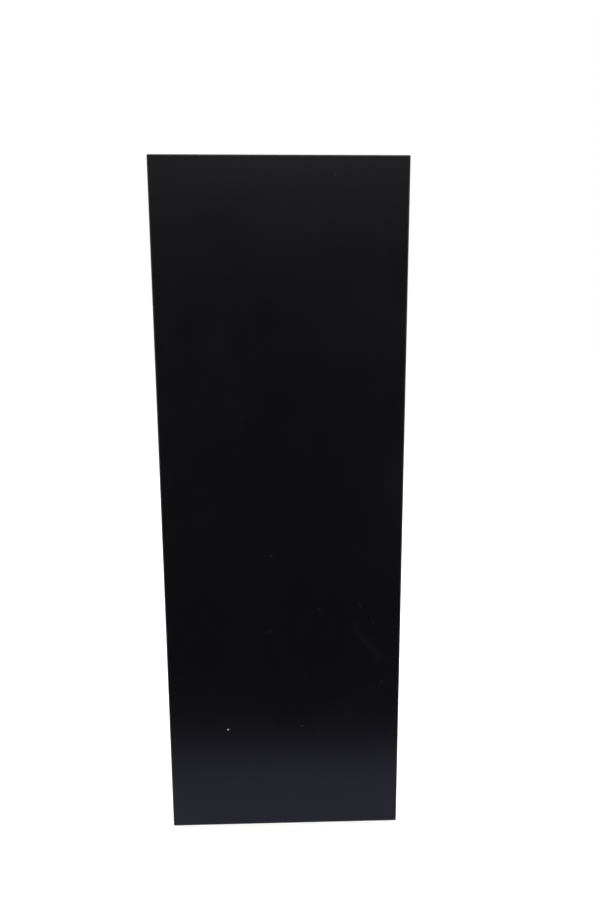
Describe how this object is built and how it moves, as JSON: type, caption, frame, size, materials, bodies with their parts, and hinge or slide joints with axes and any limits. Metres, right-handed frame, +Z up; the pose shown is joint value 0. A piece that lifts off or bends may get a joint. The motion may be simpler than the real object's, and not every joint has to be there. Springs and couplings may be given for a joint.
{
  "type": "kick plate",
  "caption": "Stiff black rectangular kick plate with bevelled front edges, stuck to the foot of a door by peel-and-stick foam tape on its back.",
  "frame": {"origin": "middle of the face that goes against the door, on the release liner of the middle cross strip", "axes": "+Z up the long side as the plate stands on its end, +Y into the door, so that the show face looks along -Y, +X across the short side; on a door the plate is turned a quarter turn about Y so that the long side is level"},
  "size_m": [0.3048, 0.0044, 0.8636],
  "materials": {
    "black_sheet": "satin, fine calendered grain, eased bevels",
    "foam_tape": "grey closed-cell acrylic foam with clear glue faces",
    "release_liner": "thin red polyethylene film, glossy"
  },
  "bodies": {
    "root": {"face_plate": "black_sheet", "tape_left": "foam_tape", "tape_right": "foam_tape", "tape_bottom": "foam_tape", "tape_lower": "foam_tape", "tape_middle": "foam_tape", "tape_upper": "foam_tape", "tape_top": "foam_tape", "liner_left": "release_liner", "liner_right": "release_liner", "liner_bottom": "release_liner", "liner_lower": "release_liner", "liner_middle": "release_liner", "liner_upper": "release_liner", "liner_top": "release_liner"}
  },
  "joints": []
}
